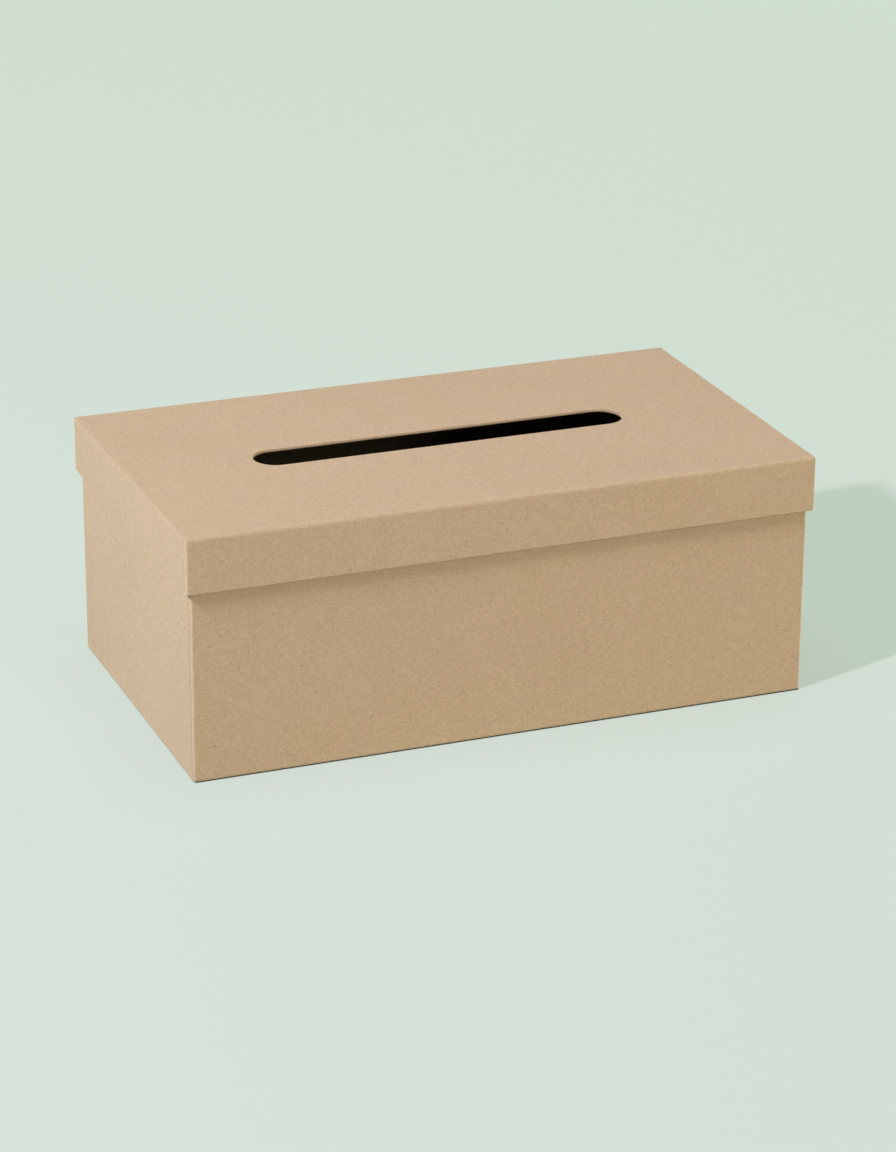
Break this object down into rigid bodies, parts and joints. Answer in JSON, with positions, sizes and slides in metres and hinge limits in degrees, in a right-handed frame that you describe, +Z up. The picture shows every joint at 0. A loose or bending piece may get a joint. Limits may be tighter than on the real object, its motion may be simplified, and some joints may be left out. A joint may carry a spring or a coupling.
{
  "type": "tissue box",
  "caption": "Plain kraft paperboard tissue box: a shallow lift-off lid with one long round-ended dispensing slot over an open tray.",
  "frame": {"origin": "centre of the tray's underside, on the surface that the box stands on", "axes": "+X along the box's length and the slot, +Y across its width, away from the viewer, +Z up"},
  "size_m": [0.26, 0.148, 0.1],
  "materials": {
    "kraft_board": "matt, uncoated, finely fibrous"
  },
  "bodies": {
    "tray": {"tray": "kraft_board"},
    "lid": {"lid": "kraft_board"}
  },
  "joints": [
    {"name": "lid_lift", "type": "slide", "parent": "tray", "child": "lid", "axis": [0, 0, 1], "range_m": [0, 0.08]}
  ]
}
